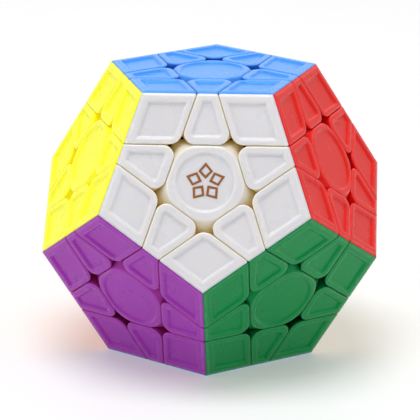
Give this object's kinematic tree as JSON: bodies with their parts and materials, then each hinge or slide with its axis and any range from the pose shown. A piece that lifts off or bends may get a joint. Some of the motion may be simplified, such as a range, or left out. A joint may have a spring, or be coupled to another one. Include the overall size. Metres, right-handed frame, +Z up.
{
  "type": "dodecahedron twisty puzzle",
  "caption": "Twelve-sided twisting puzzle with sunk colour tiles: corner, edge and centre pieces turn in layers round a screwed core.",
  "frame": {"origin": "centre of the face it stands on (sky blue), at floor level; the puzzle centre is 35 mm above", "axes": "+Z up through the blue face, -Y towards the white face, +X to the right"},
  "size_m": [0.0822, 0.0864, 0.07],
  "materials": {
    "tile_blue": "smooth moulded",
    "tile_white": "smooth moulded",
    "tile_red": "smooth moulded",
    "tile_pink": "smooth moulded",
    "tile_lime": "smooth moulded",
    "tile_yellow": "smooth moulded",
    "tile_green": "smooth moulded",
    "tile_cream": "smooth moulded",
    "tile_grey": "smooth moulded",
    "tile_orange": "smooth moulded",
    "tile_purple": "smooth moulded",
    "tile_sky": "smooth moulded",
    "base_black": "smooth moulded",
    "core_plastic": "moulded",
    "screw_steel": "plated",
    "spring_steel": "drawn wire",
    "print_gold": "thin print"
  },
  "bodies": {
    "core": {"core": "core_plastic", "screws": "screw_steel", "springs": "spring_steel", "centre_sky": "tile_sky"},
    "centre_blue": {"centre_blue": "tile_blue"},
    "centre_white": {"centre_white": "tile_white"},
    "centre_red": {"centre_red": "tile_red"},
    "centre_pink": {"centre_pink": "tile_pink"},
    "centre_lime": {"centre_lime": "tile_lime"},
    "centre_yellow": {"centre_yellow": "tile_yellow"},
    "centre_green": {"centre_green": "tile_green", "edge_sky_green": "tile_sky"},
    "centre_cream": {"centre_cream": "tile_cream", "edge_sky_cream": "tile_sky"},
    "centre_grey": {"centre_grey": "tile_grey", "edge_sky_grey": "tile_sky"},
    "centre_orange": {"centre_orange": "tile_orange", "edge_sky_orange": "tile_sky"},
    "centre_purple": {"centre_purple": "tile_purple", "edge_sky_purple": "tile_purple"},
    "edge_blue_white": {"edge_blue_white": "tile_blue"},
    "edge_blue_red": {"edge_blue_red": "tile_red"},
    "edge_blue_pink": {"edge_blue_pink": "tile_pink"},
    "edge_blue_lime": {"edge_blue_lime": "tile_lime"},
    "edge_blue_yellow": {"edge_blue_yellow": "tile_yellow"},
    "edge_white_red": {"edge_white_red": "tile_white"},
    "edge_yellow_white": {"edge_yellow_white": "tile_yellow"},
    "edge_white_green": {"edge_white_green": "tile_green"},
    "edge_white_purple": {"edge_white_purple": "tile_purple"},
    "edge_red_pink": {"edge_red_pink": "tile_red"},
    "edge_red_green": {"edge_red_green": "tile_green"},
    "edge_red_cream": {"edge_red_cream": "tile_cream"},
    "edge_pink_lime": {"edge_pink_lime": "tile_pink"},
    "edge_pink_cream": {"edge_pink_cream": "tile_cream"},
    "edge_pink_grey": {"edge_pink_grey": "tile_grey"},
    "edge_lime_yellow": {"edge_lime_yellow": "tile_lime"},
    "edge_lime_grey": {"edge_lime_grey": "tile_grey"},
    "edge_lime_orange": {"edge_lime_orange": "tile_orange"},
    "edge_yellow_orange": {"edge_yellow_orange": "tile_orange"},
    "edge_yellow_purple": {"edge_yellow_purple": "tile_purple"},
    "edge_green_cream": {"edge_green_cream_and_base_corner": "tile_green"},
    "edge_purple_green": {"edge_purple_green_and_base_corner": "tile_purple"},
    "edge_cream_grey": {"edge_cream_grey_and_base_corner": "tile_cream"},
    "edge_grey_orange": {"edge_grey_orange_and_base_corner": "tile_grey"},
    "edge_orange_purple": {"edge_orange_purple_and_base_corner": "tile_orange"},
    "corner_blue_white_red": {"corner_blue_white_red": "tile_blue"},
    "corner_blue_yellow_white": {"corner_blue_yellow_white": "tile_white"},
    "corner_blue_red_pink": {"corner_blue_red_pink": "tile_blue"},
    "corner_blue_pink_lime": {"corner_blue_pink_lime": "tile_pink"},
    "corner_blue_lime_yellow": {"corner_blue_lime_yellow": "tile_lime"},
    "corner_white_red_green": {"corner_white_red_green": "tile_white"},
    "corner_yellow_white_purple": {"corner_yellow_white_purple": "tile_yellow"},
    "corner_white_purple_green": {"corner_white_purple_green": "tile_white"},
    "corner_red_pink_cream": {"corner_red_pink_cream": "tile_red"},
    "corner_red_green_cream": {"corner_red_green_cream": "tile_red"},
    "corner_pink_lime_grey": {"corner_pink_lime_grey": "tile_pink"},
    "corner_pink_cream_grey": {"corner_pink_cream_grey": "tile_cream"},
    "corner_lime_yellow_orange": {"corner_lime_yellow_orange": "tile_yellow"},
    "corner_lime_grey_orange": {"corner_lime_grey_orange": "tile_lime"},
    "corner_yellow_orange_purple": {"corner_yellow_orange_purple": "tile_orange"}
  },
  "joints": [
    {"name": "turn_blue", "type": "hinge", "parent": "core", "child": "centre_blue", "pos_m": [0, 0, 0.035], "axis": [0, 0, 1], "range_deg": [-360, 432]},
    {"name": "turn_white", "type": "hinge", "parent": "core", "child": "centre_white", "pos_m": [0, 0, 0.035], "axis": [0, -0.8944, 0.4472], "range_deg": [-360, 504]},
    {"name": "turn_red", "type": "hinge", "parent": "core", "child": "centre_red", "pos_m": [0, 0, 0.035], "axis": [0.8507, -0.2764, 0.4472], "range_deg": [-360, 504]},
    {"name": "turn_pink", "type": "hinge", "parent": "core", "child": "centre_pink", "pos_m": [0, 0, 0.035], "axis": [0.5257, 0.7236, 0.4472], "range_deg": [-360, 504]},
    {"name": "turn_lime", "type": "hinge", "parent": "core", "child": "centre_lime", "pos_m": [0, 0, 0.035], "axis": [-0.5257, 0.7236, 0.4472], "range_deg": [-360, 504]},
    {"name": "turn_yellow", "type": "hinge", "parent": "core", "child": "centre_yellow", "pos_m": [0, 0, 0.035], "axis": [-0.8507, -0.2764, 0.4472], "range_deg": [-360, 504]},
    {"name": "turn_green", "type": "hinge", "parent": "core", "child": "centre_green", "pos_m": [0, 0, 0.035], "axis": [0.5257, -0.7236, -0.4472], "range_deg": [-360, 432]},
    {"name": "turn_cream", "type": "hinge", "parent": "core", "child": "centre_cream", "pos_m": [0, 0, 0.035], "axis": [0.8507, 0.2764, -0.4472], "range_deg": [-360, 432]},
    {"name": "turn_grey", "type": "hinge", "parent": "core", "child": "centre_grey", "pos_m": [0, 0, 0.035], "axis": [0, 0.8944, -0.4472], "range_deg": [-360, 432]},
    {"name": "turn_orange", "type": "hinge", "parent": "core", "child": "centre_orange", "pos_m": [0, 0, 0.035], "axis": [-0.8507, 0.2764, -0.4472], "range_deg": [-360, 432]},
    {"name": "turn_purple", "type": "hinge", "parent": "core", "child": "centre_purple", "pos_m": [0, 0, 0.035], "axis": [-0.5257, -0.7236, -0.4472], "range_deg": [-360, 432]},
    {"name": "edge_blue_white_with_blue", "type": "hinge", "parent": "centre_white", "child": "edge_blue_white", "pos_m": [0, 0, 0.035], "axis": [0, 0, 1], "range_deg": [-360, 432]},
    {"name": "edge_blue_red_with_blue", "type": "hinge", "parent": "centre_red", "child": "edge_blue_red", "pos_m": [0, 0, 0.035], "axis": [0, 0, 1], "range_deg": [-360, 432]},
    {"name": "edge_blue_pink_with_blue", "type": "hinge", "parent": "centre_pink", "child": "edge_blue_pink", "pos_m": [0, 0, 0.035], "axis": [0, 0, 1], "range_deg": [-360, 432]},
    {"name": "edge_blue_lime_with_blue", "type": "hinge", "parent": "centre_lime", "child": "edge_blue_lime", "pos_m": [0, 0, 0.035], "axis": [0, 0, 1], "range_deg": [-360, 432]},
    {"name": "edge_blue_yellow_with_blue", "type": "hinge", "parent": "centre_yellow", "child": "edge_blue_yellow", "pos_m": [0, 0, 0.035], "axis": [0, 0, 1], "range_deg": [-360, 432]},
    {"name": "edge_white_red_with_red", "type": "hinge", "parent": "centre_white", "child": "edge_white_red", "pos_m": [0, 0, 0.035], "axis": [0.8507, -0.2764, 0.4472], "range_deg": [-360, 504]},
    {"name": "edge_yellow_white_with_white", "type": "hinge", "parent": "centre_yellow", "child": "edge_yellow_white", "pos_m": [0, 0, 0.035], "axis": [0, -0.8944, 0.4472], "range_deg": [-360, 504]},
    {"name": "edge_white_green_with_green", "type": "hinge", "parent": "centre_white", "child": "edge_white_green", "pos_m": [0, 0, 0.035], "axis": [0.5257, -0.7236, -0.4472], "range_deg": [-360, 432]},
    {"name": "edge_white_purple_with_purple", "type": "hinge", "parent": "centre_white", "child": "edge_white_purple", "pos_m": [0, 0, 0.035], "axis": [-0.5257, -0.7236, -0.4472], "range_deg": [-360, 432]},
    {"name": "edge_red_pink_with_pink", "type": "hinge", "parent": "centre_red", "child": "edge_red_pink", "pos_m": [0, 0, 0.035], "axis": [0.5257, 0.7236, 0.4472], "range_deg": [-360, 504]},
    {"name": "edge_red_green_with_green", "type": "hinge", "parent": "centre_red", "child": "edge_red_green", "pos_m": [0, 0, 0.035], "axis": [0.5257, -0.7236, -0.4472], "range_deg": [-360, 432]},
    {"name": "edge_red_cream_with_cream", "type": "hinge", "parent": "centre_red", "child": "edge_red_cream", "pos_m": [0, 0, 0.035], "axis": [0.8507, 0.2764, -0.4472], "range_deg": [-360, 432]},
    {"name": "edge_pink_lime_with_lime", "type": "hinge", "parent": "centre_pink", "child": "edge_pink_lime", "pos_m": [0, 0, 0.035], "axis": [-0.5257, 0.7236, 0.4472], "range_deg": [-360, 504]},
    {"name": "edge_pink_cream_with_cream", "type": "hinge", "parent": "centre_pink", "child": "edge_pink_cream", "pos_m": [0, 0, 0.035], "axis": [0.8507, 0.2764, -0.4472], "range_deg": [-360, 432]},
    {"name": "edge_pink_grey_with_grey", "type": "hinge", "parent": "centre_pink", "child": "edge_pink_grey", "pos_m": [0, 0, 0.035], "axis": [0, 0.8944, -0.4472], "range_deg": [-360, 432]},
    {"name": "edge_lime_yellow_with_yellow", "type": "hinge", "parent": "centre_lime", "child": "edge_lime_yellow", "pos_m": [0, 0, 0.035], "axis": [-0.8507, -0.2764, 0.4472], "range_deg": [-360, 504]},
    {"name": "edge_lime_grey_with_grey", "type": "hinge", "parent": "centre_lime", "child": "edge_lime_grey", "pos_m": [0, 0, 0.035], "axis": [0, 0.8944, -0.4472], "range_deg": [-360, 432]},
    {"name": "edge_lime_orange_with_orange", "type": "hinge", "parent": "centre_lime", "child": "edge_lime_orange", "pos_m": [0, 0, 0.035], "axis": [-0.8507, 0.2764, -0.4472], "range_deg": [-360, 432]},
    {"name": "edge_yellow_orange_with_orange", "type": "hinge", "parent": "centre_yellow", "child": "edge_yellow_orange", "pos_m": [0, 0, 0.035], "axis": [-0.8507, 0.2764, -0.4472], "range_deg": [-360, 432]},
    {"name": "edge_yellow_purple_with_purple", "type": "hinge", "parent": "centre_yellow", "child": "edge_yellow_purple", "pos_m": [0, 0, 0.035], "axis": [-0.5257, -0.7236, -0.4472], "range_deg": [-360, 432]},
    {"name": "edge_green_cream_with_green", "type": "hinge", "parent": "centre_cream", "child": "edge_green_cream", "pos_m": [0, 0, 0.035], "axis": [0.5257, -0.7236, -0.4472], "range_deg": [-360, 432]},
    {"name": "edge_purple_green_with_purple", "type": "hinge", "parent": "centre_green", "child": "edge_purple_green", "pos_m": [0, 0, 0.035], "axis": [-0.5257, -0.7236, -0.4472], "range_deg": [-360, 432]},
    {"name": "edge_cream_grey_with_cream", "type": "hinge", "parent": "centre_grey", "child": "edge_cream_grey", "pos_m": [0, 0, 0.035], "axis": [0.8507, 0.2764, -0.4472], "range_deg": [-360, 432]},
    {"name": "edge_grey_orange_with_grey", "type": "hinge", "parent": "centre_orange", "child": "edge_grey_orange", "pos_m": [0, 0, 0.035], "axis": [0, 0.8944, -0.4472], "range_deg": [-360, 432]},
    {"name": "edge_orange_purple_with_orange", "type": "hinge", "parent": "centre_purple", "child": "edge_orange_purple", "pos_m": [0, 0, 0.035], "axis": [-0.8507, 0.2764, -0.4472], "range_deg": [-360, 432]},
    {"name": "corner_blue_white_red_with_red", "type": "hinge", "parent": "edge_blue_white", "child": "corner_blue_white_red", "pos_m": [0, 0, 0.035], "axis": [0.8507, -0.2764, 0.4472], "range_deg": [-360, 504]},
    {"name": "corner_blue_yellow_white_with_white", "type": "hinge", "parent": "edge_blue_yellow", "child": "corner_blue_yellow_white", "pos_m": [0, 0, 0.035], "axis": [0, -0.8944, 0.4472], "range_deg": [-360, 504]},
    {"name": "corner_blue_red_pink_with_pink", "type": "hinge", "parent": "edge_blue_red", "child": "corner_blue_red_pink", "pos_m": [0, 0, 0.035], "axis": [0.5257, 0.7236, 0.4472], "range_deg": [-360, 504]},
    {"name": "corner_blue_pink_lime_with_lime", "type": "hinge", "parent": "edge_blue_pink", "child": "corner_blue_pink_lime", "pos_m": [0, 0, 0.035], "axis": [-0.5257, 0.7236, 0.4472], "range_deg": [-360, 504]},
    {"name": "corner_blue_lime_yellow_with_yellow", "type": "hinge", "parent": "edge_blue_lime", "child": "corner_blue_lime_yellow", "pos_m": [0, 0, 0.035], "axis": [-0.8507, -0.2764, 0.4472], "range_deg": [-360, 504]},
    {"name": "corner_white_red_green_with_red", "type": "hinge", "parent": "edge_white_green", "child": "corner_white_red_green", "pos_m": [0, 0, 0.035], "axis": [0.8507, -0.2764, 0.4472], "range_deg": [-360, 504]},
    {"name": "corner_yellow_white_purple_with_white", "type": "hinge", "parent": "edge_yellow_purple", "child": "corner_yellow_white_purple", "pos_m": [0, 0, 0.035], "axis": [0, -0.8944, 0.4472], "range_deg": [-360, 504]},
    {"name": "corner_white_purple_green_with_green", "type": "hinge", "parent": "edge_white_purple", "child": "corner_white_purple_green", "pos_m": [0, 0, 0.035], "axis": [0.5257, -0.7236, -0.4472], "range_deg": [-360, 432]},
    {"name": "corner_red_pink_cream_with_pink", "type": "hinge", "parent": "edge_red_cream", "child": "corner_red_pink_cream", "pos_m": [0, 0, 0.035], "axis": [0.5257, 0.7236, 0.4472], "range_deg": [-360, 504]},
    {"name": "corner_red_green_cream_with_cream", "type": "hinge", "parent": "edge_red_green", "child": "corner_red_green_cream", "pos_m": [0, 0, 0.035], "axis": [0.8507, 0.2764, -0.4472], "range_deg": [-360, 432]},
    {"name": "corner_pink_lime_grey_with_lime", "type": "hinge", "parent": "edge_pink_grey", "child": "corner_pink_lime_grey", "pos_m": [0, 0, 0.035], "axis": [-0.5257, 0.7236, 0.4472], "range_deg": [-360, 504]},
    {"name": "corner_pink_cream_grey_with_grey", "type": "hinge", "parent": "edge_pink_cream", "child": "corner_pink_cream_grey", "pos_m": [0, 0, 0.035], "axis": [0, 0.8944, -0.4472], "range_deg": [-360, 432]},
    {"name": "corner_lime_yellow_orange_with_yellow", "type": "hinge", "parent": "edge_lime_orange", "child": "corner_lime_yellow_orange", "pos_m": [0, 0, 0.035], "axis": [-0.8507, -0.2764, 0.4472], "range_deg": [-360, 504]},
    {"name": "corner_lime_grey_orange_with_orange", "type": "hinge", "parent": "edge_lime_grey", "child": "corner_lime_grey_orange", "pos_m": [0, 0, 0.035], "axis": [-0.8507, 0.2764, -0.4472], "range_deg": [-360, 432]},
    {"name": "corner_yellow_orange_purple_with_purple", "type": "hinge", "parent": "edge_yellow_orange", "child": "corner_yellow_orange_purple", "pos_m": [0, 0, 0.035], "axis": [-0.5257, -0.7236, -0.4472], "range_deg": [-360, 432]}
  ],
  "couplings": [
    {"joint": "edge_blue_white_with_blue", "follows": "turn_blue", "ratio": 1},
    {"joint": "edge_blue_red_with_blue", "follows": "turn_blue", "ratio": 1},
    {"joint": "edge_blue_pink_with_blue", "follows": "turn_blue", "ratio": 1},
    {"joint": "edge_blue_lime_with_blue", "follows": "turn_blue", "ratio": 1},
    {"joint": "edge_blue_yellow_with_blue", "follows": "turn_blue", "ratio": 1},
    {"joint": "edge_white_red_with_red", "follows": "turn_red", "ratio": 1},
    {"joint": "edge_yellow_white_with_white", "follows": "turn_white", "ratio": 1},
    {"joint": "edge_white_green_with_green", "follows": "turn_green", "ratio": 1},
    {"joint": "edge_white_purple_with_purple", "follows": "turn_purple", "ratio": 1},
    {"joint": "edge_red_pink_with_pink", "follows": "turn_pink", "ratio": 1},
    {"joint": "edge_red_green_with_green", "follows": "turn_green", "ratio": 1},
    {"joint": "edge_red_cream_with_cream", "follows": "turn_cream", "ratio": 1},
    {"joint": "edge_pink_lime_with_lime", "follows": "turn_lime", "ratio": 1},
    {"joint": "edge_pink_cream_with_cream", "follows": "turn_cream", "ratio": 1},
    {"joint": "edge_pink_grey_with_grey", "follows": "turn_grey", "ratio": 1},
    {"joint": "edge_lime_yellow_with_yellow", "follows": "turn_yellow", "ratio": 1},
    {"joint": "edge_lime_grey_with_grey", "follows": "turn_grey", "ratio": 1},
    {"joint": "edge_lime_orange_with_orange", "follows": "turn_orange", "ratio": 1},
    {"joint": "edge_yellow_orange_with_orange", "follows": "turn_orange", "ratio": 1},
    {"joint": "edge_yellow_purple_with_purple", "follows": "turn_purple", "ratio": 1},
    {"joint": "edge_green_cream_with_green", "follows": "turn_green", "ratio": 1},
    {"joint": "edge_purple_green_with_purple", "follows": "turn_purple", "ratio": 1},
    {"joint": "edge_cream_grey_with_cream", "follows": "turn_cream", "ratio": 1},
    {"joint": "edge_grey_orange_with_grey", "follows": "turn_grey", "ratio": 1},
    {"joint": "edge_orange_purple_with_orange", "follows": "turn_orange", "ratio": 1},
    {"joint": "corner_blue_white_red_with_red", "follows": "turn_red", "ratio": 1},
    {"joint": "corner_blue_yellow_white_with_white", "follows": "turn_white", "ratio": 1},
    {"joint": "corner_blue_red_pink_with_pink", "follows": "turn_pink", "ratio": 1},
    {"joint": "corner_blue_pink_lime_with_lime", "follows": "turn_lime", "ratio": 1},
    {"joint": "corner_blue_lime_yellow_with_yellow", "follows": "turn_yellow", "ratio": 1},
    {"joint": "corner_white_red_green_with_red", "follows": "turn_red", "ratio": 1},
    {"joint": "corner_yellow_white_purple_with_white", "follows": "turn_white", "ratio": 1},
    {"joint": "corner_white_purple_green_with_green", "follows": "turn_green", "ratio": 1},
    {"joint": "corner_red_pink_cream_with_pink", "follows": "turn_pink", "ratio": 1},
    {"joint": "corner_red_green_cream_with_cream", "follows": "turn_cream", "ratio": 1},
    {"joint": "corner_pink_lime_grey_with_lime", "follows": "turn_lime", "ratio": 1},
    {"joint": "corner_pink_cream_grey_with_grey", "follows": "turn_grey", "ratio": 1},
    {"joint": "corner_lime_yellow_orange_with_yellow", "follows": "turn_yellow", "ratio": 1},
    {"joint": "corner_lime_grey_orange_with_orange", "follows": "turn_orange", "ratio": 1},
    {"joint": "corner_yellow_orange_purple_with_purple", "follows": "turn_purple", "ratio": 1}
  ]
}
